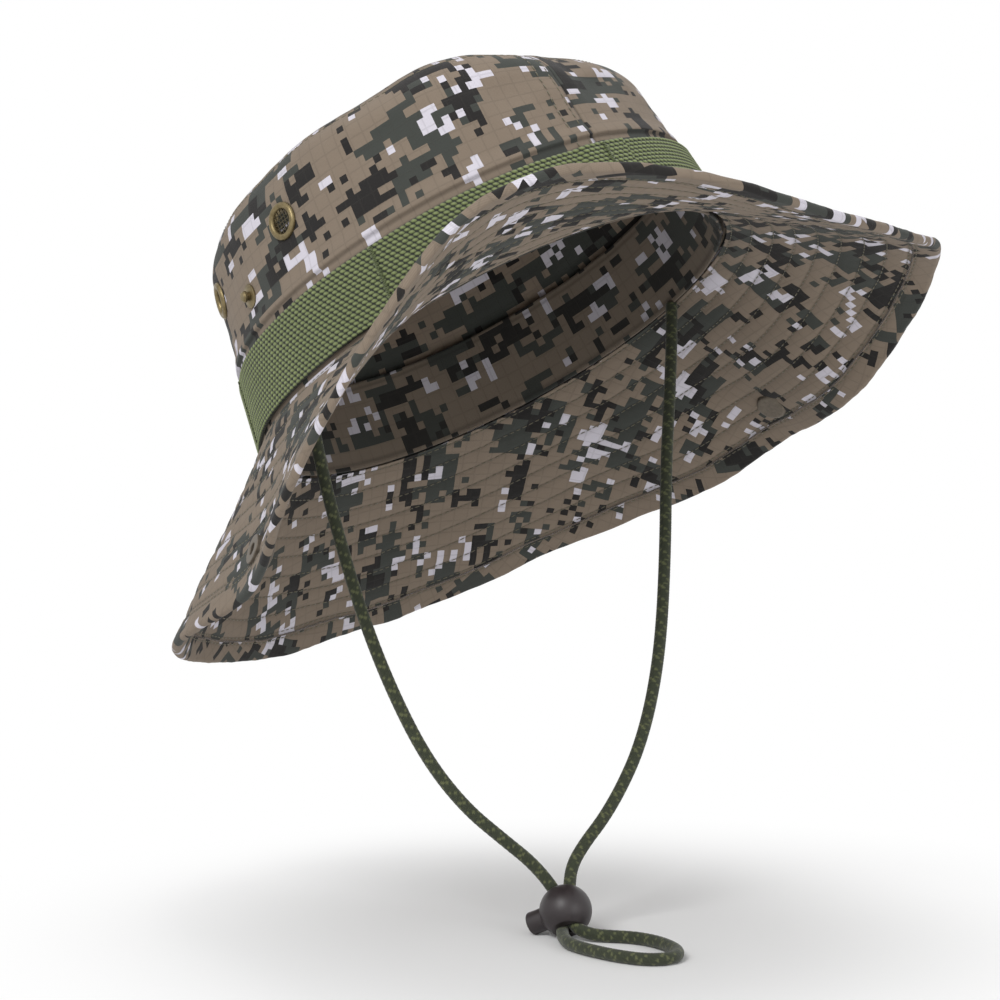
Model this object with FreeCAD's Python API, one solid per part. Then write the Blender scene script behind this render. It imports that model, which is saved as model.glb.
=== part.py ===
import FreeCAD, Part
import math
import os
from FreeCAD import Matrix, Placement, Rotation, Vector

# Boonie hat, size 57-58, sewn from ripstop cloth. Millimetres, +Z up, +X the wearer's front,
# +Y the wearer's left. The origin is the centre of the head opening, in the seam that joins
# crown and brim. The hat is modelled as it is worn, tipped back with the left side raised, with
# its chin cord hanging, because a head holds it up and gravity sets the cord.
# All fixed sewn pieces are drawn in the hat's own upright frame and turned by worn() at the end.

# ---- head fit and wearing attitude
head_half_width = 83.0        # inside of the sweatband across the temples
oval_ratio = 1.194            # front-to-back half size over side-to-side half size
tip_back = 29.7               # degrees, front up
lean = 10.2                   # degrees, left side up

# ---- cloth and seams
band_thickness = 1.0          # sweatband
band_height = 30.0
band_below = 1.5              # sweatband edge below the seam plane
ply_clear = 0.05              # between layers that are sewn together
crown_cloth = 0.8
crown_height = 76.5           # up to the seam of the tip
wall_height = 60.0            # straight part of the side
wall_taper = 0.125            # inward, mm per mm of height
shoulder_in = 9.5             # how far the rounded shoulder comes in at the tip seam
tip_rise = 8.0
seam_tape_width = 9.0
seam_tape_thickness = 0.6

# ---- webbing band with its bar tacks
webbing_width = 25.0
webbing_thickness = 1.5
webbing_up = 1.5              # lower edge above the seam
tack_angles = (0.0, 58.0, 120.0, 180.0, 240.0, 302.0)
tack_width = 2.4
tack_thickness = 0.7

# ---- brim
brim_width = 70.0
brim_ply = 0.9
brim_land = 1.2               # flat strip that is caught in the seam
bell_droop = 38.5             # degrees below the seam plane
brim_waves = (                # lift in degrees, place and half span around the head, from the front
    (38.0, -29.2, 28.8),      # high wave over the right eye
    (-17.0, -97.5, 20.5),     # right side, pulled down beside it
    (5.0, 46.0, 12.0),        # slight lift at the front left
    (-18.5, 84.0, 18.5),      # left side, hanging steeply
    (-9.0, 118.0, 15.0),      # and still low behind it, so that it clears the crown turned up
)
brim_stations = 19            # profiles per half
side_angle = 96.5             # middle of the side that turns up, just behind the temple
fold_reach = 5.4              # fold line beyond the seam, room for the webbing when turned up
fold_half_length = 62.0
fold_gap = 0.35

# ---- hardware
eyelet_outer = 6.65
eyelet_hole = 4.2
eyelet_rim = 1.3
eyelet_wire = 0.32
eyelet_height = 54.0
eyelet_angles = (-77.0, -116.0, 77.0, 116.0)
washer_thickness = 0.5
stud_height = 42.0
stud_flange = 4.2
stud_flange_thickness = 0.8
stud_neck = 1.45
stud_head = 2.0
stud_length = 3.2
post_radius = 1.2
post_back = 3.6
snap_clear = 0.15
socket_outer = 5.2
socket_height = 2.6
cap_radius = 5.75
cap_height = 2.2
snap_seat = 4.1               # brim surface to crown wall when snapped up

# ---- chin cord and its lock
cord_diameter = 4.2
cord_exit_in = 1.1            # cord centre inside the sweatband's inner face
lock_centre = Vector(72.0, -17.0, -188.5)
lock_hole_axis = Vector(0.609, -0.276, -0.744)
plunger_axis = Vector(-0.744, -0.533, -0.41)
lock_radius = 9.0
lock_flat = 7.2
slot_width = 4.7
slot_length = 9.0
plunger_radius = 4.0
plunger_clear = 0.3
plunger_out = 14.0
plunger_in = 4.3
plunger_shift = 1.6           # the rest offset that grips the cord
press_travel = 1.8
lock_clear = 0.1              # between the cord and the mouths of the lock
spring_pocket = 2.9
spring_wire = 0.5
spring_turns = 3.5
spring_length = 3.6

# ---- worked out
seam_radius = head_half_width + band_thickness + ply_clear      # crown cloth, inside, at the seam
wall_radius = seam_radius + crown_cloth                         # crown cloth, outside
brim_half_thickness = 2 * brim_ply + ply_clear
bore_radius = plunger_radius + plunger_clear
pocket_floor = plunger_in + spring_length
cord_radius = cord_diameter / 2.0


def oval(shape):
    """Stretch a round shape front to back into the head's oval."""
    m = Matrix()
    m.A11 = oval_ratio
    return shape.transformGeometry(m)


def worn(shape):
    """Turn a piece from the upright hat into the worn attitude."""
    placed = shape.copy()
    placed.rotate(Vector(0, 0, 0), Vector(1, 0, 0), lean)
    placed.rotate(Vector(0, 0, 0), Vector(0, 1, 0), -tip_back)
    return placed


def worn_point(p):
    turned = Rotation(Vector(1, 0, 0), lean).multVec(p)
    return Rotation(Vector(0, 1, 0), -tip_back).multVec(turned)


def save(name, shape):
    if isinstance(shape, (list, tuple)):
        shape = Part.makeCompound(shape) if len(shape) > 1 else shape[0]
    shape.exportStep(os.path.join("parts", name + ".step"))
    print(name, "solids", len(shape.Solids), "volume", round(shape.Volume, 1), "valid", shape.isValid())


def polygon_face(points):
    """Face in the XZ plane through (radius, height) points."""
    corners = [Vector(r, 0, z) for r, z in points]
    return Part.Face(Part.makePolygon(corners + [corners[0]]))


def turned(face, angle=360.0):
    return face.revolve(Vector(0, 0, 0), Vector(0, 0, 1), angle)


def direction(theta):
    """Point of the unit oval and its outward normal, theta from the front towards the left."""
    c = math.cos(math.radians(theta))
    s = math.sin(math.radians(theta))
    along = Vector(oval_ratio * c, s, 0)
    out = Vector(c / oval_ratio, s, 0)
    out.normalize()
    return along, out


def wall_frame(theta, height, lift=0.0):
    """Placement on the crown wall: local Z out of the cloth, local Y up the wall."""
    along, out = direction(theta)
    base = along * (wall_radius - wall_taper * height)
    slope = math.atan(wall_taper)
    normal = out * math.cos(slope) + Vector(0, 0, math.sin(slope))
    side = Vector(-out.y, out.x, 0)
    up = normal.cross(side)
    origin = Vector(base.x, base.y, height) + normal * lift
    return placement_from(origin, side, up, normal)


def placement_from(origin, x, y, z):
    m = Matrix(x.x, y.x, z.x, origin.x, x.y, y.y, z.y, origin.y, x.z, y.z, z.z, origin.z, 0, 0, 0, 1)
    return Placement(m)


def put(shape, placement):
    placed = shape.copy()
    placed.Placement = placement.multiply(placed.Placement)
    return placed


# ---- crown: two side panels that meet front and back, with an oval tip set into them
def wall_point(height, inward):
    return (wall_radius - wall_taper * height - inward, height)


def crown_profile(inset):
    """Outside line of the side panel moved in by inset: a leaning wall and a rounded shoulder."""
    low = Vector(wall_radius - inset, 0, 0)
    bend = wall_point(wall_height, inset)
    seam = (wall_point(wall_height, 0)[0] - shoulder_in - inset * 0.5, crown_height - inset * 0.85)
    high = Vector(bend[0], 0, bend[1])
    top = Vector(seam[0], 0, seam[1])
    middle = Vector(bend[0] - shoulder_in * 0.27, 0, (bend[1] + seam[1]) / 2 + 1.2)
    return low, high, middle, top


def side_panel(sign):
    a0, a1, am, a2 = crown_profile(0.0)
    b0, b1, bm, b2 = crown_profile(crown_cloth)
    edges = [
        Part.makeLine(a0, a1),
        Part.Arc(a1, am, a2).toShape(),
        Part.makeLine(a2, b2),
        Part.Arc(b2, bm, b1).toShape(),
        Part.makeLine(b1, b0),
        Part.makeLine(b0, a0),
    ]
    panel = oval(turned(Part.Face(Part.Wire(edges)), sign * 180.0))
    if panel.Volume < 0:
        panel.reverse()
    return panel


def tip_panel():
    rim_out = crown_profile(0.0)[3]
    rim_in = crown_profile(crown_cloth)[3]
    apex = Vector(0, 0, rim_out.z + tip_rise)
    apex_in = Vector(0, 0, rim_out.z + tip_rise - crown_cloth)
    rise = Vector(rim_out.x * 0.5, 0, rim_out.z + tip_rise * 0.78)
    rise_in = Vector(rim_in.x * 0.5, 0, rim_out.z + tip_rise * 0.78 - crown_cloth)
    edges = [
        Part.Arc(rim_out, rise, apex).toShape(),
        Part.makeLine(apex, apex_in),
        Part.Arc(apex_in, rise_in, rim_in).toShape(),
        Part.makeLine(rim_in, rim_out),
    ]
    return oval(turned(Part.Face(Part.Wire(edges))))


def seam_tape():
    """Binding that covers the tip seam from inside, lying against the shoulder."""
    outer = crown_profile(crown_cloth + ply_clear)
    inner = crown_profile(crown_cloth + ply_clear + seam_tape_thickness)
    arc_out = Part.Arc(outer[1], outer[2], outer[3])
    arc_in = Part.Arc(inner[1], inner[2], inner[3])
    share_out = (crown_height - seam_tape_width - outer[1].z) / (outer[3].z - outer[1].z)
    start_out = arc_out.value(
        arc_out.FirstParameter + share_out * (arc_out.LastParameter - arc_out.FirstParameter))
    start_in = arc_in.value(
        arc_in.FirstParameter + share_out * (arc_in.LastParameter - arc_in.FirstParameter))
    half_out = arc_out.value(
        arc_out.FirstParameter + (1 + share_out) / 2 * (arc_out.LastParameter - arc_out.FirstParameter))
    half_in = arc_in.value(
        arc_in.FirstParameter + (1 + share_out) / 2 * (arc_in.LastParameter - arc_in.FirstParameter))
    edges = [
        Part.Arc(start_out, half_out, outer[3]).toShape(),
        Part.makeLine(outer[3], inner[3]),
        Part.Arc(inner[3], half_in, start_in).toShape(),
        Part.makeLine(start_in, start_out),
    ]
    return oval(turned(Part.Face(Part.Wire(edges))))


def sweatband():
    lean_in = wall_taper * band_height
    outside = head_half_width + band_thickness
    return oval(turned(polygon_face([
        (head_half_width, -band_below),
        (outside, -band_below),
        (outside, 0.0),
        (outside - lean_in, band_height),
        (head_half_width - lean_in, band_height),
        (head_half_width, 0.0),
    ])))


def webbing_band():
    low = webbing_up
    high = webbing_up + webbing_width
    return oval(turned(polygon_face([
        wall_point(low, -ply_clear),
        wall_point(low, -ply_clear - webbing_thickness),
        wall_point(high, -ply_clear - webbing_thickness),
        wall_point(high, -ply_clear),
    ])))


def spread(theta):
    """How much the oval stretch thickens a layer at theta."""
    c = math.cos(math.radians(theta)) / oval_ratio
    return 1.0 / math.hypot(c, math.sin(math.radians(theta)))


def bar_tack(theta):
    bar = Part.makeBox(tack_width, webbing_width, tack_thickness)
    bar.translate(Vector(-tack_width / 2, -webbing_width / 2, 0))
    lift = (webbing_thickness + ply_clear) * spread(theta) + ply_clear
    return put(bar, wall_frame(theta, webbing_up + webbing_width / 2, lift))


# ---- brim: two plies of cloth, each sewn from a right and a left half
def droop(theta):
    """Degrees that the brim falls below the seam plane at theta."""
    lifts = [lift * math.exp(-((theta - at) / span) ** 2) for lift, at, span in brim_waves]
    return bell_droop - sum(lifts)


def brim_point(theta, reach, depth):
    """Point at a distance out from the seam and at a depth under the upper surface."""
    along, out = direction(theta)
    base = along * seam_radius
    if reach <= brim_land:
        return Vector(base.x, base.y, 0) + out * reach + Vector(0, 0, -depth)
    fall = math.radians(droop(theta))
    run = reach - brim_land
    flat = brim_land + run * math.cos(fall) - depth * math.sin(fall)
    level = -run * math.sin(fall) - depth * math.cos(fall)
    return Vector(base.x, base.y, 0) + out * flat + Vector(0, 0, level)


def brim_half(sign, depth):
    """One half ply, lofted through profiles that turn around the head opening."""
    wires = []
    for i in range(brim_stations):
        theta = sign * 180.0 * i / (brim_stations - 1)
        corners = [
            brim_point(theta, 0.0, depth),
            brim_point(theta, brim_land, depth),
            brim_point(theta, brim_width, depth),
            brim_point(theta, brim_width, depth + brim_ply),
            brim_point(theta, brim_land, depth + brim_ply),
            brim_point(theta, 0.0, depth + brim_ply),
        ]
        wires.append(Part.makePolygon(corners + [corners[0]]))
    return Part.makeLoft(wires, True, False)


def fold_level(sign):
    """Height of the fold line, on the upper surface of the brim at the side."""
    return -(fold_reach - brim_land) * math.tan(math.radians(droop(sign * side_angle)))


def snapped_place():
    """Outward distance from the seam, and height, of the brim point that is snapped to the stud."""
    slope = math.atan(wall_taper)
    along, out = direction(side_angle)
    outward = (crown_cloth - wall_taper * stud_height) * along.dot(out) + snap_seat * math.cos(slope)
    return outward, stud_height + snap_seat * math.sin(slope)


def fold_angle(sign):
    """Turn of the flap from rest until its socket is on the stud."""
    outward, level = snapped_place()
    inward = math.degrees(math.atan2(fold_reach - outward, level - fold_level(sign)))
    return 90.0 + droop(sign * side_angle) + inward


def snap_reach(sign):
    """Distance along the brim from the seam to the socket, which lands on the stud."""
    outward, level = snapped_place()
    fall = math.radians(droop(sign * side_angle))
    to_fold = brim_land + (fold_reach - brim_land) / math.cos(fall)
    return to_fold + math.hypot(fold_reach - outward, level - fold_level(sign))


def fold_frame(sign):
    """Placement at the fold line: local X along it, local Y outwards."""
    along, out = direction(sign * side_angle)
    origin = along * seam_radius + out * fold_reach + Vector(0, 0, fold_level(sign))
    return placement_from(origin, Vector(out.y, -out.x, 0), out, Vector(0, 0, 1))


def fold_box(sign, grow):
    """Space that holds the side of the brim that turns up."""
    length = 2 * (fold_half_length + grow)
    box = Part.makeBox(length, 120.0, 200.0)
    box.translate(Vector(-length / 2, -grow, -150.0))
    return put(box, fold_frame(sign))


# ---- snap fasteners: stud on the crown wall, socket and cap through the brim
def brim_frame(sign):
    """Placement on the upper surface of the brim, local Z out of the cloth."""
    theta = sign * side_angle
    out = direction(theta)[1]
    fall = math.radians(droop(theta))
    away = out * math.cos(fall) + Vector(0, 0, -math.sin(fall))
    side = Vector(out.y, -out.x, 0)
    return placement_from(brim_point(theta, snap_reach(sign), 0.0), side, away, side.cross(away))


def ring(outer, inner, low, high):
    return Part.makeCylinder(outer, high - low, Vector(0, 0, low)).cut(
        Part.makeCylinder(inner, high - low + 2, Vector(0, 0, low - 1)))


def snap_stud():
    """Flange, waisted neck and rounded head, with a hollow for the post that rivets it."""
    neck_top = stud_length - stud_head * 0.8
    edges = [
        (post_radius, 0.0),
        (stud_flange, 0.0),
        (stud_flange, stud_flange_thickness * 0.5),
        (stud_head + 0.5, stud_flange_thickness),
        (stud_neck, stud_flange_thickness + 0.2),
        (stud_neck, neck_top - 0.3),
        (stud_head, neck_top + 0.2),
        (stud_head, stud_length - 0.6),
        (stud_head - 0.6, stud_length),
        (0.0, stud_length),
        (0.0, stud_length - 0.7),
        (post_radius, stud_length - 0.7),
    ]
    return turned(polygon_face(edges))


def stud_post():
    through = crown_cloth + 2 * ply_clear
    back = Part.makeCylinder(post_back, 0.5, Vector(0, 0, -through - 0.5))
    shank = Part.makeCylinder(post_radius, through + stud_length - 1.0, Vector(0, 0, -through - 0.2))
    return back.fuse(shank)


def snap_socket():
    body = ring(socket_outer, stud_head + snap_clear, ply_clear, socket_height)
    foot = ring(socket_outer, post_radius, ply_clear, 0.55)
    rim = body.makeFillet(0.35, [e for e in body.Edges if abs(e.BoundBox.ZMin - socket_height) < 0.01])
    return rim.fuse(foot).removeSplitter()


def snap_cap():
    under = -brim_half_thickness - ply_clear
    dome = Part.makeCylinder(cap_radius, cap_height, Vector(0, 0, under - cap_height))
    edge = [e for e in dome.Edges if abs(e.BoundBox.ZMax - under + cap_height) < 0.01]
    dome = dome.makeFillet(cap_height * 0.7, edge)
    shank = Part.makeCylinder(post_radius, -under + 0.5, Vector(0, 0, under))
    return dome.fuse(shank)


# ---- vent eyelets: rolled rim outside, washer inside, screen of crossed wires between
def eyelet():
    half = (eyelet_outer - eyelet_hole) / 2
    centre = Vector(eyelet_hole + half, 0, 0)
    top = centre + Vector(0, 0, eyelet_rim)
    arc = Part.Arc(centre + Vector(half, 0, 0), top, centre - Vector(half, 0, 0))
    base = Part.makeLine(centre - Vector(half, 0, 0), centre + Vector(half, 0, 0))
    lip = Part.Face(Part.Wire([arc.toShape(), base]))
    barrel = ring(eyelet_hole + 0.4, eyelet_hole, -crown_cloth - washer_thickness - 2 * ply_clear, 0.1)
    return turned(lip).fuse(barrel)


def vent_screen():
    level = -crown_cloth * 0.5
    reach = eyelet_hole - 0.02
    wires = []
    step = 1.45
    for i in range(-2, 3):
        for across in (False, True):
            wire = Part.makeBox(2 * reach + 1, eyelet_wire, eyelet_wire)
            wire.translate(Vector(-reach - 0.5, i * step - eyelet_wire / 2, level))
            if across:
                wire.rotate(Vector(0, 0, 0), Vector(0, 0, 1), 90)
            wires.append(wire)
    net = wires[0].multiFuse(wires[1:])
    return net.common(Part.makeCylinder(reach, 2.0, Vector(0, 0, level - 1)))


def vent_washer():
    top = -crown_cloth - ply_clear
    return ring(eyelet_outer - 0.4, eyelet_hole + 0.4 + ply_clear, top - washer_thickness, top)


# ---- chin cord: a limp braided cord that hangs from the seam at both temples, passes the lock
# and ends in a short loop that lies on the surface under it
def exit_point(sign):
    return worn_point(Vector(0, sign * (head_half_width - cord_exit_in), -band_below))


def mouth(end, sign):
    """Centre of a strand where it meets the lock, end -1 above and +1 below."""
    offset = plunger_axis * (sign * cord_radius * 1.04)
    return lock_centre + lock_hole_axis * (end * lock_flat) + offset


near_strand = [
    (9, -79, -24), (13, -77, -43), (18, -73, -66), (25, -68, -92), (33, -61, -117),
    (41, -53, -138), (49, -43, -154), (56, -32, -165), (60, -22, -174),
]
far_strand = [
    (-2, 78, 1), (7, 71, -18), (19, 61, -44), (33, 51, -74), (45, 41, -102), (54, 31, -122),
    (59, 22, -138), (62, 13, -150), (64, 4, -160), (64, -4, -168), (65, -10, -175),
]
end_loop = [
    (81, -24, -195.4), (91, -28, -195.4), (104, -26, -195.4), (116, -22, -195.4),
    (125, -17, -195.4), (125, -9, -195.4), (115, -5, -195.4), (102, 0, -195.4),
    (90, 6, -195.4), (80, 7, -195.4), (75, 0, -195.4), (78, -8, -195.4), (84, -13, -195.4),
]


def cord_wire(points):
    """Straight runs joined by tangent arcs, which leave the middle tenth of each run straight."""
    edges = []
    radii = []
    here = points[0]
    for before, corner, after in zip(points[:-2], points[1:-1], points[2:]):
        back = before - corner
        ahead = after - corner
        shorter = min(back.Length, ahead.Length)
        back.normalize()
        ahead.normalize()
        half_turn = (math.pi - back.getAngle(ahead)) / 2
        radius = 0.45 * shorter / math.tan(half_turn)
        radii.append(radius)
        start = corner + back * (0.45 * shorter)
        finish = corner + ahead * (0.45 * shorter)
        inward = back + ahead
        inward.normalize()
        reach = radius / math.cos(half_turn) - radius
        edges.append(Part.LineSegment(here, start).toShape())
        edges.append(Part.Arc(start, corner + inward * reach, finish).toShape())
        here = finish
    edges.append(Part.LineSegment(here, points[-1]).toShape())
    return Part.Wire(edges), radii


def cord_tube(name, points):
    path, radii = cord_wire(points)
    tangent = points[1] - points[0]
    section = Part.Wire([Part.makeCircle(cord_radius, points[0], tangent)])
    tube = path.makePipeShell([section], True, False)
    share = tube.Volume / (math.pi * cord_radius ** 2 * path.Length)
    print(name, "length", round(path.Length, 1), "smallest radius", round(min(radii), 1),
          "volume over section times length", round(share, 3))
    return tube


def chin_cord():
    near = [exit_point(-1)] + [Vector(*p) for p in near_strand] + [mouth(-1, 1)]
    far = [exit_point(1)] + [Vector(*p) for p in far_strand] + [mouth(-1, -1)]
    loop = [mouth(1, 1)] + [Vector(*p) for p in end_loop] + [mouth(1, -1)]
    tubes = [cord_tube("near strand", near), cord_tube("far strand", far), cord_tube("end loop", loop)]
    lock_space = put(lock_envelope(lock_clear), lock_frame())
    return [tube.cut(lock_space) for tube in tubes]


# ---- cord lock: ball barrel with a slot for two strands, a sprung plunger across it
def slot(height, shift=0.0):
    flat = slot_length - slot_width
    box = Part.makeBox(flat, slot_width, height, Vector(-flat / 2 + shift, -slot_width / 2, -height / 2))
    ends = [
        Part.makeCylinder(slot_width / 2, height, Vector(x + shift, 0, -height / 2))
        for x in (-flat / 2, flat / 2)
    ]
    return box.multiFuse(ends).removeSplitter()


def lock_envelope(grow=0.0):
    """Ball with two flats where the cord enters and leaves."""
    flats = Part.makeCylinder(lock_radius + 1, 2 * (lock_flat + grow), Vector(0, 0, -lock_flat - grow))
    return Part.makeSphere(lock_radius + grow).common(flats)


def lock_barrel():
    ball = lock_envelope()
    bore_end = -plunger_in - press_travel - plunger_clear
    bore = Part.makeCylinder(bore_radius, 20.0, Vector(bore_end, 0, 0), Vector(1, 0, 0))
    pocket = Part.makeCylinder(spring_pocket, 10.0, Vector(-pocket_floor, 0, 0), Vector(1, 0, 0))
    return ball.cut(slot(4 * lock_radius)).cut(bore).cut(pocket)


def lock_plunger():
    """Round button whose cross hole stands off from the slot, so that it grips the cord."""
    length = plunger_out + plunger_in
    body = Part.makeCylinder(plunger_radius, length, Vector(-plunger_in, 0, 0), Vector(1, 0, 0))
    body = body.makeFillet(0.8, [e for e in body.Edges if abs(e.BoundBox.XMin - plunger_out) < 0.01])
    dimple = Part.makeCylinder(plunger_radius - 1.3, 2.5, Vector(plunger_out - 2.5, 0, 0), Vector(1, 0, 0))
    return body.cut(slot(4 * plunger_radius, plunger_shift)).cut(dimple)


def lock_spring():
    rise = spring_length - spring_wire
    helix = Part.makeHelix(rise / spring_turns, rise, spring_pocket - spring_wire)
    start = Vector(spring_pocket - spring_wire, 0, 0)
    section = Part.Wire([Part.makeCircle(spring_wire / 2, start, Vector(0, 1, 0))])
    coil = Part.Wire(helix.Edges).makePipeShell([section], True, True)
    coil.rotate(Vector(0, 0, 0), Vector(0, 1, 0), 90)
    coil.translate(Vector(-pocket_floor + spring_wire / 2, 0, 0))
    return coil


def lock_frame():
    z = lock_hole_axis * -1.0
    z.normalize()
    x = plunger_axis - z * plunger_axis.dot(z)
    x.normalize()
    return placement_from(lock_centre, x, z.cross(x), z)


# ---- build every piece
os.makedirs("parts", exist_ok=True)

vent_hole = Part.makeCylinder(eyelet_hole + 0.4 + ply_clear, 8.0, Vector(0, 0, -5))
holes = [put(vent_hole, wall_frame(a, eyelet_height)) for a in eyelet_angles]
holes += [put(Part.makeCylinder(post_radius + ply_clear, 8.0, Vector(0, 0, -5)), wall_frame(a, stud_height))
          for a in (-side_angle, side_angle)]
vent_seats = [wall_frame(a, eyelet_height, ply_clear) for a in eyelet_angles]
eyelets = [put(eyelet(), seat) for seat in vent_seats]
washers = [put(vent_washer(), seat) for seat in vent_seats]
stud_seats = [wall_frame(a, stud_height, ply_clear) for a in (-side_angle, side_angle)]
studs = [put(snap_stud(), seat) for seat in stud_seats]
posts = [put(stud_post(), seat) for seat in stud_seats]
pressed_in = Part.makeCompound(holes + eyelets + washers + studs + posts)   # the cloth gives way to them
for side_name, sign in (("right", -1), ("left", 1)):
    save("crown_side_" + side_name, worn(side_panel(sign).cut(pressed_in)))
save("crown_tip", worn(tip_panel()))
save("crown_seam_tape", worn(seam_tape()))
save("sweatband", worn(sweatband()))
band = webbing_band()
save("webbing_band", worn(band))
save("webbing_bar_tacks", [worn(bar_tack(a).cut(band)) for a in tack_angles])

for side_name, sign in (("right", -1), ("left", 1)):
    snap_hole = put(Part.makeCylinder(post_radius + ply_clear, 20.0, Vector(0, 0, -10)), brim_frame(sign))
    socket = put(snap_socket(), brim_frame(sign))
    cap = put(snap_cap(), brim_frame(sign))
    snap_parts = Part.makeCompound([snap_hole, socket, cap])
    for ply_name, depth in (("upper", 0.0), ("lower", brim_ply + ply_clear)):
        ply = brim_half(sign, depth)
        save("brim_%s_%s" % (ply_name, side_name), worn(ply.cut(fold_box(sign, fold_gap))))
        pressed = ply.common(fold_box(sign, 0.0)).cut(snap_parts)
        flap = max(pressed.Solids, key=lambda solid: solid.Volume)   # no crumb under the snap
        save("brim_%s_flap_%s" % (ply_name, side_name), worn(flap))
    save("snap_socket_" + side_name, worn(socket))
    save("snap_cap_" + side_name, worn(cap))

save("snap_studs", [worn(stud) for stud in studs])
save("snap_stud_posts", [worn(post) for post in posts])
save("vent_eyelets", [worn(rim) for rim in eyelets])
save("vent_screens", [worn(put(vent_screen(), seat)) for seat in vent_seats])
save("vent_washers", [worn(washer) for washer in washers])

save("chin_cord", chin_cord())
save("cord_lock_barrel", put(lock_barrel(), lock_frame()))
save("cord_lock_plunger", put(lock_plunger(), lock_frame()))
save("cord_lock_spring", put(lock_spring(), lock_frame()))
for sign in (-1, 1):
    fold = fold_frame(sign)
    line = worn_point(fold.Rotation.multVec(Vector(1, 0, 0)))
    print("fold", sign, "at", worn_point(fold.Base), "along", line)
    print("closes at", fold_angle(sign), "snap reach", snap_reach(sign))
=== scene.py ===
import math

import bmesh
import bpy
import numpy as np
from mathutils import Matrix, Vector


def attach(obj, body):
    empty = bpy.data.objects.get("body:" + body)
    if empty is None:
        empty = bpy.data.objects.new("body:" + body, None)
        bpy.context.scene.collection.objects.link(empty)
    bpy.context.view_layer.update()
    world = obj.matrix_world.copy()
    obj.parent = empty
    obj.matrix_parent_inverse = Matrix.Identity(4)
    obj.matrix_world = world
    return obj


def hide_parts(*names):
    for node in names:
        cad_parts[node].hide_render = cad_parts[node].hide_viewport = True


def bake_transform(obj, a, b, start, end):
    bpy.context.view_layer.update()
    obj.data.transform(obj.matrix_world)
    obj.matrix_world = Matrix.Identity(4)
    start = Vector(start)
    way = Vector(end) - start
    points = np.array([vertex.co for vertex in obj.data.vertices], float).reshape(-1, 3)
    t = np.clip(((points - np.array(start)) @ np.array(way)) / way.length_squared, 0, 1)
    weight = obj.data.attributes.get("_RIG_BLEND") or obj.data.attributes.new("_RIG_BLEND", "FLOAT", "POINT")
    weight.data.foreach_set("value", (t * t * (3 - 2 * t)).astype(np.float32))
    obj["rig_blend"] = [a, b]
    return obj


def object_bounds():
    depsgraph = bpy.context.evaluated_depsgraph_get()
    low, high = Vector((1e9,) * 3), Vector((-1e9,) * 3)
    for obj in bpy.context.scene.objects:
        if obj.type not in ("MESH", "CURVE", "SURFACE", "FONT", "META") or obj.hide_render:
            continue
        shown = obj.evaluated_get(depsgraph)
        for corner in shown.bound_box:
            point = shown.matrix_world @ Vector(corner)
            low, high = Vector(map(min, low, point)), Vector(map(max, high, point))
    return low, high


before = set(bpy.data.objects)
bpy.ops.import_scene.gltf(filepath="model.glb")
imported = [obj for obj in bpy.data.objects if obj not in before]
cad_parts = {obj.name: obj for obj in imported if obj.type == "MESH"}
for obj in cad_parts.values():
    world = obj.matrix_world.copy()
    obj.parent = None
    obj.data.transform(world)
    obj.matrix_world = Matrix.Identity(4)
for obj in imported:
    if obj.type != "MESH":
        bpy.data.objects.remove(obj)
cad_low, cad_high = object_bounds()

# ---------------------------------------------------------------- camera
# A long lens a little over a metre away, at the height of the brim and to the wearer's front
# right, so that the crown, the underside of the brim and the hanging cord all show.
camera_side = Vector((0.5388, 0.8425, 0.0))
camera_front = Vector((0.8425, -0.5388, 0.0))
camera_rise = math.radians(6.0)
camera_distance = 1.4
camera_back = camera_front * math.cos(camera_rise) + Vector((0, 0, math.sin(camera_rise)))
camera_up = camera_back.cross(camera_side)
camera_aim = camera_side * 0.0021 - camera_up * 0.055

camera_data = bpy.data.cameras.new("camera")
camera_data.lens = 142.8
camera_data.sensor_width = 36.0
camera = bpy.data.objects.new("camera", camera_data)
bpy.context.scene.collection.objects.link(camera)
camera_turn = Matrix((camera_side, camera_up, camera_back)).transposed().to_4x4()
camera.matrix_world = Matrix.Translation(camera_aim + camera_back * camera_distance) @ camera_turn
bpy.context.scene.camera = camera

# ---------------------------------------------------------------- chin cord
# A limp round braid, 4.2 mm thick, sewn into the crown seam at both temples. It hangs down on both
# sides, passes the ball lock twice and ends in a short loop that lies on the surface below.
MM = 0.001
cord_diameter = 4.2 * MM
tip_back = math.radians(29.7)
lean = math.radians(10.2)
worn = Matrix.Rotation(-tip_back, 3, "Y") @ Matrix.Rotation(lean, 3, "X")
worn_array = np.array(worn)

lock_centre = Vector((72.0, -17.0, -188.5))
hole_axis = Vector((0.609, -0.276, -0.744)).normalized()
press_axis = Vector((-0.744, -0.533, -0.41))
exit_right = worn @ Vector((0, -81.9, -1.5))
exit_left = worn @ Vector((0, 81.9, -1.5))


def in_lock(along, side):
    """Centre of one strand inside the lock, along its hole."""
    return lock_centre + hole_axis * along + press_axis * (side * 2.184)


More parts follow.
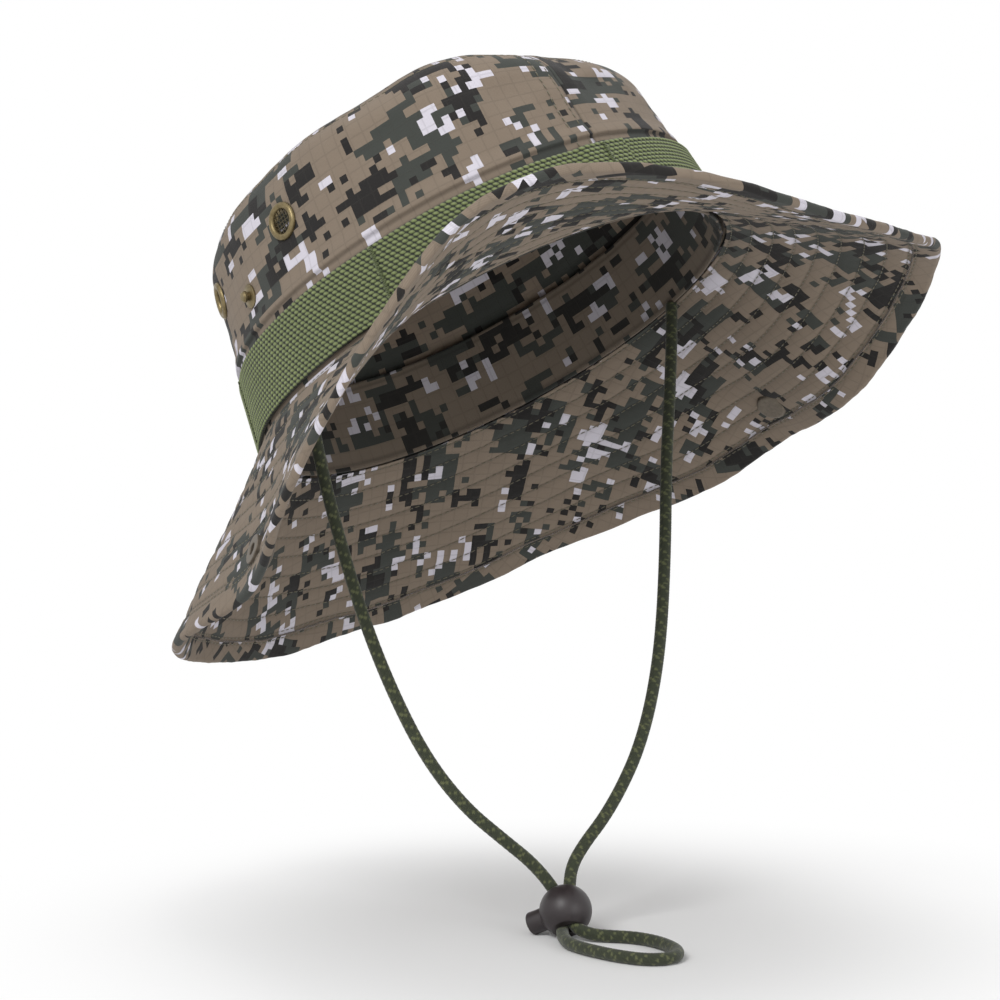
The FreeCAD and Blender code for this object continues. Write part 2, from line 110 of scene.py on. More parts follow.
near_strand = [
    (9, -79, -24), (13, -77, -43), (18, -73, -66), (25, -68, -92), (33, -61, -117),
    (41, -53, -138), (49, -43, -154), (56, -32, -165), (60, -22, -174),
]
end_loop = [
    (81, -24, -195.4), (91, -28, -195.4), (104, -27, -195.4), (116, -24, -195.4),
    (125, -19, -195.4), (127, -11, -195.4), (121, -4, -195.4), (111, -1, -195.4),
    (101, -1, -195.4), (93, -4, -195.4), (87.5, -9.5, -195.4), (83.5, -14.5, -195),
]
far_strand = [
    (-2, 78, 1), (7, 71, -18), (19, 61, -44), (33, 51, -74), (45, 41, -102), (54, 31, -122),
    (59, 22, -138), (62, 13, -150), (64, 4, -160), (64, -4, -168), (65, -10, -175),
]
cord_route = (
    [exit_right] + near_strand + [in_lock(-7.2, 1), in_lock(0, 1), in_lock(7.2, 1)] + end_loop
    + [in_lock(7.2, -1), in_lock(0, -1), in_lock(-7.2, -1)] + far_strand[::-1] + [exit_left]
)


def mesh_object(name, mesh):
    """A new object of that mesh, in the scene."""
    made = bpy.data.objects.new(name, mesh)
    bpy.context.scene.collection.objects.link(made)
    return made


def centreline(route):
    """Points of the smooth spline that a cord hangs in."""
    curve = bpy.data.curves.new("cord_route", "CURVE")
    curve.dimensions = "3D"
    spline = curve.splines.new("NURBS")
    spline.points.add(len(route) - 1)
    for point, place in zip(spline.points, route):
        point.co = (*(Vector(place) * MM), 1.0)
    spline.order_u = 3
    spline.use_endpoint_u = True
    spline.resolution_u = 24
    holder = mesh_object("cord_route", curve)
    bpy.context.view_layer.update()
    line = bpy.data.meshes.new_from_object(holder)
    points = np.array([v.co for v in line.vertices])
    bpy.data.objects.remove(holder)
    keep = np.r_[True, np.linalg.norm(np.diff(points, axis=0), axis=1) > 1e-7]
    return points[keep]


def even_steps(points, step):
    """The same line, with a point every step."""
    run = np.r_[0, np.cumsum(np.linalg.norm(np.diff(points, axis=0), axis=1))]
    places = np.linspace(0, run[-1], int(run[-1] / step) + 1)
    return np.stack([np.interp(places, run, points[:, k]) for k in range(3)], 1), places


def carried_frames(points):
    """Two sides of the line at each point, turned as little as possible from one to the next."""
    tangents = np.gradient(points, axis=0)
    tangents /= np.linalg.norm(tangents, axis=1)[:, None]
    side = np.cross(tangents[0], [0.0, 0.0, 1.0])
    sides = []
    for tangent in tangents:
        side = side - tangent * (side @ tangent)
        side = side / np.linalg.norm(side)
        sides.append(side)
    sides = np.array(sides)
    return sides, np.cross(tangents, sides)


def grid_mesh(name, across, along, place, round_u=False):
    """Grid of across by along cells that place() bends into its piece.

    place gets two arrays from 0 to 1 and gives points in metres, pattern coordinates in
    millimetres and named values for the material."""
    bm = bmesh.new()
    bmesh.ops.create_grid(bm, x_segments=across, y_segments=along, size=1.0)
    mesh = bpy.data.meshes.new(name)
    bm.to_mesh(mesh)
    bm.free()
    flat = np.zeros(len(mesh.vertices) * 3)
    mesh.vertices.foreach_get("co", flat)
    u = (flat[0::3] + 1) / 2
    v = (flat[1::3] + 1) / 2
    points, pattern, values = place(u, v)
    mesh.vertices.foreach_set("co", np.ascontiguousarray(points, float).ravel())
    corner = np.zeros(len(mesh.loops), int)
    mesh.loops.foreach_get("vertex_index", corner)
    layer = mesh.uv_layers.new(name="pattern")
    layer.data.foreach_set("uv", np.ascontiguousarray(pattern[corner] / 100.0, float).ravel())
    for key, numbers in values.items():
        attribute = mesh.attributes.new(key, "FLOAT", "POINT")
        attribute.data.foreach_set("value", np.asarray(numbers, np.float32))
    if round_u:
        bm = bmesh.new()
        bm.from_mesh(mesh)
        bmesh.ops.remove_doubles(bm, verts=bm.verts, dist=1e-6)
        bm.to_mesh(mesh)
        bm.free()
    mesh.polygons.foreach_set("use_smooth", [True] * len(mesh.polygons))
    mesh.update()
    return mesh_object(name, mesh)


cord_line = centreline(cord_route)
cord_points, cord_run = even_steps(cord_line, 0.00045)
cord_sides, cord_ups = carried_frames(cord_points)
braid_faces_round = 28
braid_carriers = 8
braid_pitch = 9.0 * MM


def braid(u, v):
    """Surface of the braid: two sets of yarns that cross over and under one another."""
    row = np.round(v * (len(cord_points) - 1)).astype(int)
    turn = u * 2 * math.pi
    run = cord_run[row]
    right = braid_carriers * (turn / (2 * math.pi) + run / braid_pitch)
    left = braid_carriers * (turn / (2 * math.pi) - run / braid_pitch)
    over = np.cos(math.pi * (np.floor(right) + np.floor(left)))
    crown_right = np.sqrt(np.clip(1 - (2 * (right % 1) - 1) ** 2 * 0.92, 0, 1))
    crown_left = np.sqrt(np.clip(1 - (2 * (left % 1) - 1) ** 2 * 0.92, 0, 1))
    relief = np.where(over > 0, crown_right, crown_left)
    carrier_right = np.floor(right) % braid_carriers
    carrier_left = np.floor(left) % braid_carriers + braid_carriers
    carrier = np.where(over > 0, carrier_right, carrier_left)
    fleck = np.isin(carrier, (1, 5, 10)).astype(float)
    radius = cord_diameter / 2 * (0.93 + 0.10 * relief)
    points = cord_points[row] + radius[:, None] * (
        cord_sides[row] * np.cos(turn)[:, None] + cord_ups[row] * np.sin(turn)[:, None])
    pattern = np.stack([turn * 2.1, run * 1000], 1)
    return points, pattern, {"relief": relief, "fleck": fleck}


chin_cord = grid_mesh(
    "chin_cord_braid", braid_faces_round, len(cord_points) - 1, braid, round_u=True)


def material(name, rough, metal=0.0, sheen=0.0):
    """A new material and its shader, with the values that stay the same all over it."""
    made = bpy.data.materials.new(name)
    made.use_nodes = True
    shader = made.node_tree.nodes["Principled BSDF"]
    shader.inputs["Roughness"].default_value = rough
    shader.inputs["Metallic"].default_value = metal
    shader.inputs["Sheen Weight"].default_value = sheen
    return made, shader


class Nodes:
    """Short calls for the node tree of one material."""

    def __init__(self, made):
        self.tree = made.node_tree

    def add(self, kind, **settings):
        node = self.tree.nodes.new(kind)
        for key, value in settings.items():
            setattr(node, key, value)
        return node

    def feed(self, socket, value):
        if isinstance(value, bpy.types.NodeSocket):
            self.tree.links.new(value, socket)
        else:
            socket.default_value = value

    def math(self, operation, a, b=0.0, c=0.0):
        node = self.add("ShaderNodeMath", operation=operation)
        for socket, value in zip(node.inputs, (a, b, c)):
            self.feed(socket, value)
        return node.outputs[0]

    def vector(self, operation, a, b=(0, 0, 0), scale=1.0):
        node = self.add("ShaderNodeVectorMath", operation=operation)
        self.feed(node.inputs[0], a)
        self.feed(node.inputs[1], b)
        if operation == "SCALE":
            node.inputs["Scale"].default_value = scale
        return node.outputs[0]

    def noise(self, where, scale, detail=2.0, roughness=0.5):
        node = self.add("ShaderNodeTexNoise")
        self.feed(node.inputs["Vector"], where)
        node.inputs["Scale"].default_value = scale
        node.inputs["Detail"].default_value = detail
        node.inputs["Roughness"].default_value = roughness
        return node.outputs["Fac"]

    def mix(self, amount, a, b, blend="MIX"):
        node = self.add("ShaderNodeMix", data_type="RGBA", blend_type=blend)
        self.feed(node.inputs[0], amount)
        self.feed(node.inputs[6], a)
        self.feed(node.inputs[7], b)
        return node.outputs[2]

    def value(self, name):
        return self.add("ShaderNodeAttribute", attribute_name=name).outputs["Fac"]

    def pattern(self):
        """Pattern coordinates of the piece, in millimetres."""
        uv = self.add("ShaderNodeUVMap", uv_map="pattern").outputs[0]
        return self.vector("SCALE", uv, scale=100.0)

    def place(self):
        """Place on the piece, in millimetres."""
        spot = self.add("ShaderNodeTexCoord").outputs["Object"]
        return self.vector("SCALE", spot, scale=1000.0)

    def bump(self, height, distance, strength=1.0):
        node = self.add("ShaderNodeBump")
        node.inputs["Strength"].default_value = strength
        node.inputs["Distance"].default_value = distance
        self.feed(node.inputs["Height"], height)
        return node.outputs[0]


def paint(red, green, blue):
    """Linear colour from the usual 0 to 255 numbers."""
    def linear(c):
        c /= 255.0
        return c / 12.92 if c <= 0.04045 else ((c + 0.055) / 1.055) ** 2.4
    return (linear(red), linear(green), linear(blue), 1.0)


cord_cloth, cord_shader = material("braided_cord", 0.85, sheen=0.2)
n = Nodes(cord_cloth)
yarn = n.mix(n.value("fleck"), paint(40, 46, 29), paint(98, 102, 66))
fibre = n.noise(n.place(), 2.2, 3.0)
yarn = n.mix(n.math("MULTIPLY", fibre, 0.5), yarn, paint(60, 66, 42))
# Painted shade in the hollows between the yarns, darkest where the braid surface is lowest.
painted_hollow_shade = n.math("MULTIPLY", n.math("SUBTRACT", 1.0, n.value("relief")), 0.8)
yarn = n.mix(painted_hollow_shade, yarn, paint(14, 16, 9))
n.feed(cord_shader.inputs["Base Color"], yarn)
n.feed(cord_shader.inputs["Normal"], n.bump(n.noise(n.place(), 5.0, 2.0), 0.00012, 0.6))
chin_cord.data.materials.append(cord_cloth)

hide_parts("chin_cord")
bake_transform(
    chin_cord, "hat", "cord_lock",
    start=exit_right * MM, end=lock_centre * MM + Vector((0, 0, 0.02)),
)

# ---------------------------------------------------------------- cord lock
# A moulded ball with a slot for both strands. A sprung hollow button crosses the slot and grips
# the cord until it is pushed in. All three pieces are the solids' own shapes.
lock_plastic, lock_shader = material("lock_plastic", 0.42)
n = Nodes(lock_plastic)
cloudy = n.noise(n.place(), 0.35, 3.0)
n.feed(lock_shader.inputs["Base Color"], n.mix(cloudy, paint(34, 28, 30), paint(52, 45, 46)))
n.feed(lock_shader.inputs["Roughness"], n.math("MULTIPLY_ADD", cloudy, 0.25, 0.32))
n.feed(lock_shader.inputs["Normal"], n.bump(n.noise(n.place(), 3.0, 2.0), 0.00004, 0.5))

wire_steel, wire_shader = material("spring_steel", 0.3, metal=1.0)
n = Nodes(wire_steel)
drawn = n.noise(n.place(), 2.0)
n.feed(wire_shader.inputs["Base Color"], n.mix(drawn, paint(150, 150, 150), paint(190, 190, 188)))


def finish_nodes(made, *names):
    """Give carried-over solids their material."""
    for name in names:
        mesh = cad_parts[name].data
        mesh.materials.clear()
        mesh.materials.append(made)


finish_nodes(lock_plastic, "cord_lock_barrel", "cord_lock_plunger")
finish_nodes(wire_steel, "cord_lock_spring")

# ---------------------------------------------------------------- camouflage ripstop
# Cotton and polyester cloth printed with blocky blobs of four colours, with the square grid of
# thicker yarns of a ripstop weave. Crown and brim are cut from it, so its material comes first.
small_square = 2.9
large_square = 5.8
rib_gap = 5.5
yarn_gap = 0.62
colours = {
    "ground": paint(131, 117, 102),
    "grey": paint(56, 60, 56),
    "dark": paint(14, 12, 13),
    "pale": paint(214, 210, 220),
}


def squares(n, where, size):
    """Coordinates that stay the same all over each square of the print."""
    return n.vector("SNAP", where, (size, size, size))


def blobs(n, where, seed, spread, level, ragged):
    """1 inside blocky blobs, 0 outside."""
    fine = n.vector("ADD", squares(n, where, small_square), (seed, seed * 1.7, seed * 0.3))
    coarse = n.vector("ADD", squares(n, where, large_square), (seed, seed * 1.7, seed * 0.3))
    large = n.noise(n.vector("MULTIPLY", coarse, (1.0 / spread, 1.6 / spread, 0)), 1.0, 1.0)
    middle = n.noise(n.vector("MULTIPLY", fine, (3.2 / spread, 4.6 / spread, 0)), 1.0, 1.0)
    speck = n.add("ShaderNodeTexWhiteNoise", noise_dimensions="3D")
    n.feed(speck.inputs["Vector"], fine)
    total = n.math("MULTIPLY_ADD", middle, 0.55, large)
    total = n.math("MULTIPLY_ADD", speck.outputs["Value"], ragged, total)
    return n.math("GREATER_THAN", total, level)


def camouflage(name, darker=0.0):
    """The printed cloth. darker greys it all over, towards a dark olive."""
    made, shader = material(name, 0.92, sheen=0.04)
    n = Nodes(made)
    where = n.pattern()
    colour = n.mix(blobs(n, where, 11.0, 34.0, 0.875, 0.07), colours["ground"], colours["grey"])
    colour = n.mix(blobs(n, where, 57.0, 25.0, 0.935, 0.11), colour, colours["dark"])
    colour = n.mix(blobs(n, where, 91.0, 20.0, 1.0, 0.13), colour, colours["pale"])
    fade = n.noise(n.vector("SCALE", where, scale=0.03), 1.0, 3.0)
    colour = n.mix(n.math("MULTIPLY", fade, 0.03), colour, paint(148, 134, 118))
    split = n.add("ShaderNodeSeparateXYZ")
    n.feed(split.inputs[0], where)
    ribs = []
    for axis in (0, 1):
        near = n.math("PINGPONG", split.outputs[axis], rib_gap / 2)
        ribs.append(n.math("LESS_THAN", near, 0.28))
    grid = n.math("MAXIMUM", ribs[0], ribs[1])
    colour = n.mix(n.math("MULTIPLY", grid, 0.12), colour, paint(60, 56, 50))
    threads = []
    for axis in (0, 1):
        turns = n.math("MULTIPLY", split.outputs[axis], 2 * math.pi / yarn_gap)
        threads.append(n.math("SINE", turns))
    weave = n.math("MULTIPLY", threads[0], threads[1])
    colour = n.mix(n.math("MULTIPLY_ADD", weave, 0.10, 0.10), colour, paint(30, 28, 26))
    # Painted shade along the stitch rows and seams, where the cloth is drawn in.
    groove_shade = n.value("groove_shade")
    colour = n.mix(n.math("MULTIPLY", groove_shade, 0.35), colour, paint(36, 33, 30))
    if darker:
        colour = n.mix(darker, colour, paint(24, 24, 18))
    n.feed(shader.inputs["Base Color"], colour)
    slub = n.noise(where, 1.4, 2.0)
    height = n.math("MULTIPLY_ADD", weave, 0.35, n.math("MULTIPLY_ADD", grid, 0.9, slub))
    n.feed(shader.inputs["Normal"], n.bump(height, 0.00012, 0.7))
    return made


camo_cloth = camouflage("camo_ripstop")

# ---------------------------------------------------------------- crown
# Two side panels, joined by flat seams at front and back, with an oval tip sewn into their upper
# edge. The cloth is soft: the crown keeps its shape low down and sags towards the front left.
oval_ratio = 1.194
seam_radius = 84.05
crown_cloth = 0.8
wall_radius = seam_radius + crown_cloth
wall_taper = 0.125
wall_height = 60.0
crown_height = 76.5
shoulder_in = 9.5
tip_rise = 8.0
wall_share = 0.76
panel_length = 265.0
panel_height = 88.0
vent_angles = (77.0, 116.0)
vent_height = 54.0
stud_angle = 96.5
stud_height = 42.0


def in_row(points):
    """From the upright hat in millimetres to the worn hat in metres."""
    return points @ worn_array.T * MM


def smooth(x, low, high):
    """0 below low, 1 above high, and a soft step between them."""
    t = np.clip((x - low) / (high - low), 0, 1)
    return t * t * (3 - 2 * t)


def ripple(points, size, seed):
    """Gentle uneven waves between -1 and 1, the same on every run."""
    pick = np.random.default_rng(seed)
    total = np.zeros(len(points))
    for _ in range(7):
        way = pick.normal(size=3)
        way *= 2 * math.pi / size / np.linalg.norm(way) * pick.uniform(0.6, 1.5)
        total += np.sin(points @ way + pick.uniform(0, 6.28))
    return total / 4.0


def ring(theta):
    """Point of the unit oval and its outward normal, theta in degrees from the front."""
    c = np.cos(np.radians(theta))
    s = np.sin(np.radians(theta))
    out = np.stack([c / oval_ratio, s, 0 * c], 1)
    out /= np.linalg.norm(out, axis=1)[:, None]
    return np.stack([oval_ratio * c, s, 0 * c], 1), out


def apart(theta, middle):
    """Angle from middle to theta, between -180 and 180."""
    return (theta - middle + 180.0) % 360.0 - 180.0


hardware = []
for sign in (-1, 1):
    for angle in vent_angles:
        hardware.append((sign * angle, vent_height))
    hardware.append((sign * stud_angle, stud_height))


def face_outwards(piece, centre):
    """Turn the faces round if they point at the centre, a place in the upright hat."""
    mesh = piece.data
    count = len(mesh.polygons)
    middles = np.zeros(count * 3)
    normals = np.zeros(count * 3)
    mesh.polygons.foreach_get("center", middles)
    mesh.polygons.foreach_get("normal", normals)
    away = middles.reshape(-1, 3) - in_row(np.array([centre], float))[0]
    if (away * normals.reshape(-1, 3)).sum() < 0:
        mesh.flip_normals()


def slump(points):
    """How the soft crown departs from its cut shape."""
    theta = np.degrees(np.arctan2(points[:, 1] * oval_ratio, points[:, 0]))
    reach = np.hypot(points[:, 0] / oval_ratio, points[:, 1]) / wall_radius
    high = smooth(points[:, 2], 34.0, 80.0)
    sag = np.exp(-(apart(theta, 50.0) / 44.0) ** 2) * reach ** 2
    moved = points.copy()
    moved[:, 2] -= 9.0 * sag * high
    dent = np.exp(-(apart(theta, 16.0) / 21.0) ** 2) * reach ** 2
    peak = np.exp(-(apart(theta, -30.0) / 15.0) ** 2) * reach ** 2
    moved[:, 2] += high * (5.0 * peak - 7.5 * dent)
    moved[:, 2] += high * (1.6 * ripple(points, 62.0, 3) - 0.8 * reach)
    wave = 1.3 * ripple(points, 44.0, 5) + 0.5 * ripple(points, 17.0, 6)
    for middle, height in hardware:
        beside = np.hypot(apart(theta, middle) * 1.55, points[:, 2] - height)
        wave = wave * (1 - np.exp(-(beside / 13.0) ** 4))
    out = points.copy()
    out[:, 2] = 0
    out /= np.maximum(np.linalg.norm(out, axis=1), 1e-6)[:, None]
    moved += out * (wave * smooth(points[:, 2], 26.0, 60.0) * reach)[:, None]
    return moved


def profile(share):
    """Radius and height of the cut crown: a leaning wall, then a rounded shoulder."""
    bend = np.array([wall_radius - wall_taper * wall_height, wall_height])
    seam = np.array([bend[0] - shoulder_in, crown_height])
    knee = np.array([bend[0] - 0.35, wall_height + 10.6])
    up = np.clip(share / wall_share, 0, 1)
    turn = np.clip((share - wall_share) / 0.24, 0, 1)
    wall_r = wall_radius - wall_taper * wall_height * up
    wall_z = wall_height * up
    arc_r = (1 - turn) ** 2 * bend[0] + 2 * turn * (1 - turn) * knee[0] + turn ** 2 * seam[0]
    arc_z = (1 - turn) ** 2 * bend[1] + 2 * turn * (1 - turn) * knee[1] + turn ** 2 * seam[1]
    past = share > wall_share
    return np.where(past, arc_r, wall_r), np.where(past, arc_z, wall_z)


def punch_vents(panel, sign):
    """Holes in the cloth under the two vent eyelets."""
    bm = bmesh.new()
    bm.from_mesh(panel.data)
    spare = []
    for angle in vent_angles:
        along, _ = ring(np.array([sign * angle]))
        centre = along[0] * (wall_radius - wall_taper * vent_height)
        centre[2] = vent_height
        middle = worn @ Vector(centre) * MM
        for face in bm.faces:
            if (face.calc_center_median() - middle).length < 5.0 * MM:
                spare.append(face)
    bmesh.ops.delete(bm, geom=spare, context="FACES")
    bm.to_mesh(panel.data)
    bm.free()


def side_panel(sign):
    """One side of the crown: felled at front and back, tucked in at the band, vented."""
    def place(u, v):
        theta = sign * 180.0 * u
        radius, height = profile(v)
        along, out = ring(theta)
        points = along * radius[:, None]
        points[:, 2] = height
        felled = np.exp(-((np.minimum(u, 1 - u) * panel_length - 4.0) / 4.2) ** 4)
        ridge = 0.45 * felled * (v > 0.02)
        top_seam = np.exp(-((1 - v) * panel_height / 2.2) ** 2)
        tuck = 1.1 * smooth(height, 29.8, 30.7) * (1 - smooth(height, 30.9, 37.0))
        points += out * (ridge + 0.25 * (v > 0.965) + tuck)[:, None]
        points = slump(points)
        run = np.radians(theta) * 92.0
        pattern = np.stack([run + 300 * sign, v * 84.0 + 40 * sign], 1)
        # Painted shade along the top seam, the end seams and the line at the band.
        end_seam = np.exp(-(np.minimum(u, 1 - u) * panel_length / 0.5) ** 2)
        groove_shade = np.maximum(top_seam * 0.9, end_seam)
        groove_shade = np.maximum(groove_shade, np.exp(-((height - 29.6) / 0.5) ** 2))
        return in_row(points), pattern, {"groove_shade": groove_shade}

    name = "crown_side_panel_" + ("right" if sign < 0 else "left")
    panel = grid_mesh(name, 270, 165, place)
    punch_vents(panel, sign)
    face_outwards(panel, (0.0, 0.0, 30.0))
    return panel


def thicken(piece, thickness):
    """Give the sheet its thickness, on the side that its faces turn away from."""
    wall = piece.modifiers.new("cloth", "SOLIDIFY")
    wall.thickness = thickness * MM
    wall.offset = -1.0


for side, sign in (("right", -1), ("left", 1)):
    panel = side_panel(sign)
    thicken(panel, crown_cloth)
    panel.data.materials.append(camo_cloth)
    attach(panel, "hat")
    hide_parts("crown_side_" + side)


def tip_shape(u, v):
    """The oval top: a square grid bent into a disc, so that it has no pole."""
    a = u * 2 - 1
    b = v * 2 - 1
    x = a * np.sqrt(1 - b * b / 2)
    y = b * np.sqrt(1 - a * a / 2)
    reach = np.hypot(x, y)
    rim = wall_radius - wall_taper * wall_height - shoulder_in
    height = crown_height + tip_rise * (1 - reach ** 2) + 0.5 * smooth(reach, 0.93, 0.985)
    roll = smooth(reach, 0.985, 1.0)
    points = np.stack([x * rim * oval_ratio, y * rim, height - 1.4 * roll], 1)
    points = slump(points)
    angle = math.radians(24)
    px, py = x * rim * oval_ratio, y * rim
    turned_x = px * math.cos(angle) - py * math.sin(angle)
    turned_y = px * math.sin(angle) + py * math.cos(angle)
    pattern = np.stack([turned_x, turned_y + 170], 1)
    # Painted shade along the seam round the edge of the tip.
    groove_shade = np.exp(-((1 - reach) * rim / 1.2) ** 2)
    return in_row(points), pattern, {"groove_shade": groove_shade}


crown_tip = grid_mesh("crown_tip_panel", 150, 150, tip_shape)
face_outwards(crown_tip, (0.0, 0.0, 30.0))
thicken(crown_tip, crown_cloth)
crown_tip.data.materials.append(camo_cloth)
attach(crown_tip, "hat")
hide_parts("crown_tip")

# ---------------------------------------------------------------- brim
# Two plies of the same cloth, sewn from a right and a left half and quilted with concentric rows
# of stitching, with a plain hem along the edge. A side can be turned up and snapped to the crown.
brim_width = 70.0
brim_land = 1.2
brim_thickness = 1.85
first_row = 3.0
row_gap = 7.25
row_count = 9
hem_width = 8.0
fold_reach = 5.4
fold_half_length = 62.0
bell_droop = 38.5
brim_waves = (
    (38.0, -29.2, 28.8), (-17.0, -97.5, 20.5), (5.0, 46.0, 12.0),
    (-18.5, 84.0, 18.5), (-9.0, 118.0, 15.0),
)
stitch_rows = [first_row + row_gap * k for k in range(row_count)]
hem_line = brim_width - hem_width
sewn_rows = stitch_rows + [hem_line + 1.4]


def droop(theta):
    """Degrees that the brim falls below the seam: a bell with raised and lowered waves."""
    fall = np.full(np.shape(theta), bell_droop)
    for lift, middle, span in brim_waves:
        fall = fall - lift * np.exp(-(apart(theta, middle) / span) ** 2)
    return fall


def brim_point(theta, reach, depth):
    """Place on the brim at a distance out from the seam and a depth below its upper face."""
    along, out = ring(theta)
    fall = np.radians(droop(theta))
    run = np.maximum(reach - brim_land, 0)
    fall = fall * smooth(reach, 0.0, brim_land)
    flat = np.minimum(reach, brim_land) + run * np.cos(fall) - depth * np.sin(fall)
    points = along * seam_radius + out * flat[:, None]
    points[:, 2] = -run * np.sin(fall) - depth * np.cos(fall)
    return points


def quilting(reach):
    """Height of the cloth between the stitch rows, and how close the nearest row is."""
    gaps = np.min(np.abs(reach[:, None] - np.array(sewn_rows)), axis=1)
    puff = 0.42 * (1 - np.exp(-(gaps / 1.3) ** 2))
    hem = 0.42 * smooth(reach, hem_line - 0.15, hem_line + 0.1)
    return puff + hem, np.exp(-(gaps / 0.45) ** 2)


def drape(points, reach, theta):
    """Small ripples of worn cloth, stronger towards the edge, and two stretched places."""
    loose = smooth(reach, 8.0, brim_width)
    front_stretch = 4.5 * np.exp(-(apart(theta, 42.0) / 38.0) ** 2)
    rear_stretch = 5.0 * np.exp(-(apart(theta, -142.0) / 32.0) ** 2)
    stretch = front_stretch + rear_stretch
    fall = np.radians(droop(theta))
    _, out = ring(theta)
    moved = points + out * (loose * stretch * np.cos(fall))[:, None]
    moved[:, 2] -= loose * stretch * np.sin(fall)
    moved[:, 2] += loose * (1.1 * ripple(points, 60.0, 21) + 0.35 * ripple(points, 21.0, 22))
    moved[:, 2] += 0.10 * ripple(points, 5.5, 23) * smooth(reach, 4.0, 10.0)
    return moved


def brim_half(sign):
    """Both plies of one half: out along the upper face, round the edge and back below."""
    edge_share = 0.03

    def place(u, v):
        theta = sign * 180.0 * u
        top = v < 0.5 - edge_share
        low = v > 0.5 + edge_share
        reach_top = v / (0.5 - edge_share) * brim_width
        reach_low = (1 - v) / (0.5 - edge_share) * brim_width
        reach = np.where(top, reach_top, np.where(low, reach_low, brim_width))
        puff, near_row = quilting(reach)
        puff = puff * smooth(reach, 0.5, 2.0)
        turn = np.clip((v - 0.5 + edge_share) / (2 * edge_share), 0, 1) * math.pi
        half = brim_thickness / 2 + puff
        depth = brim_thickness / 2 - half * np.cos(turn)
        reach_out = reach + np.where(top | low, 0, half * np.sin(turn) * 0.9)
        points = drape(brim_point(theta, reach_out, depth), reach, theta)
        hemmed = (v > 0.5) & (reach > hem_line)
        over_edge = brim_width + 3.0 * turn / math.pi
        turned_in = over_edge + brim_width - reach
        flat = seam_radius + np.where(hemmed, turned_in, np.where(top, reach, over_edge))
        flat = np.where(low & ~hemmed, seam_radius + reach, flat)
        spin = np.radians(theta)
        shift = np.where((v > 0.5) & ~hemmed, 400.0, 0.0)
        pattern = np.stack(
            [flat * 1.1 * np.cos(spin) + shift, flat * np.sin(spin) + shift * 0.6], 1)
        # Painted shade along the stitch rows and the hem line, on both faces.
        groove_shade = np.maximum(near_row, np.exp(-((reach - hem_line) / 0.35) ** 2))
        return in_row(points), pattern, {"groove_shade": groove_shade * (reach < brim_width - 0.5)}

    return grid_mesh("brim_" + ("right" if sign < 0 else "left"), 330, 250, place)


def turn_up(piece, side, sign):
    """The piece bends with the side flap: fully over the flap, fading out to front and back."""
    theta = np.array([sign * stud_angle])
    along, out = ring(theta)
    middle = along[0] * seam_radius
    middle[2] = -(fold_reach - brim_land) * math.tan(math.radians(float(droop(theta)[0])))
    start = worn @ Vector(middle + out[0] * (fold_reach - 3.5)) * MM
    end = worn @ Vector(middle + out[0] * (fold_reach + 6.5)) * MM
    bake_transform(piece, "hat", side + "_flap", start=start, end=end)
    count = len(piece.data.vertices)
    weight = np.zeros(count, np.float32)
    places = np.zeros(count * 3)
    piece.data.attributes["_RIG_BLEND"].data.foreach_get("value", weight)
    piece.data.vertices.foreach_get("co", places)
    local = places.reshape(-1, 3) / MM @ worn_array - middle
    beside = np.abs(local @ np.array([out[0, 1], -out[0, 0], 0.0]))
    fade = 1 - smooth(beside, fold_half_length * 0.75, fold_half_length * 1.75)
    piece.data.attributes["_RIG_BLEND"].data.foreach_set("value", (weight * fade).astype(np.float32))


for side, sign in (("right", -1), ("left", 1)):
    half = brim_half(sign)
    face_outwards(half, (0.0, sign * 110.0, -18.0))
    half.data.materials.append(camo_cloth)
    turn_up(half, side, sign)
    cloths = []
    for ply in ("upper", "lower"):
        for part in ("", "_flap"):
            cloths.append("brim_%s%s_%s" % (ply, part, side))
    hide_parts(*cloths)

# ---------------------------------------------------------------- thread
# Lockstitches of olive thread, about 2.7 mm long, that lie in the grooves they have drawn into
# the cloth: along every quilting row and the hem, on both faces, and along the crown's seams.
thread, thread_shader = material("olive_thread", 0.8, sheen=0.2)
n = Nodes(thread)
twist = n.noise(n.place(), 3.0, 2.0)
n.feed(thread_shader.inputs["Base Color"], n.mix(twist, paint(70, 68, 52), paint(118, 112, 92)))

bead = bmesh.new()
bmesh.ops.create_icosphere(bead, subdivisions=1, radius=1.0)
bead_points = np.array([v.co for v in bead.verts])
bead_faces = np.array([[v.index for v in f.verts] for f in bead.faces])
bead.free()


stitch_pitch = 2.7


def stitch_mesh(name, rows, width=0.24):
    """One long bead for each stitch. rows holds lines of points with their normals, in metres."""
    all_points, all_faces = [], []
    count = 0
    for line, normal in rows:
        for k in range(len(line) - 1):
            middle = (line[k] + line[k + 1]) / 2
            way = line[k + 1] - line[k]
            size = np.linalg.norm(way)
            way = way / size
            up = normal[k] - way * (normal[k] @ way)
            up /= np.linalg.norm(up)
            side = np.cross(up, way)
            turn = np.stack([way * size * 0.43, side * width * MM, up * width * MM])
            all_points.append(bead_points @ turn + middle)
            all_faces.append(bead_faces + count)
            count += len(bead_points)
    mesh = bpy.data.meshes.new(name)
    mesh.from_pydata(np.concatenate(all_points).tolist(), [], np.concatenate(all_faces).tolist())
    mesh.polygons.foreach_set("use_smooth", [True] * len(mesh.polygons))
    piece = mesh_object(name, mesh)
    mesh.materials.append(thread)
    return piece


def spaced(line, normal, pitch):
    """The line again, with a point for each needle hole."""
    run = np.r_[0, np.cumsum(np.linalg.norm(np.diff(line, axis=0), axis=1))]
    places = np.linspace(0, run[-1], max(int(run[-1] / (pitch * MM)), 1) + 1)
    picked = []
    for data in (line, normal):
        picked.append(np.stack([np.interp(places, run, data[:, k]) for k in range(3)], 1))
    return picked


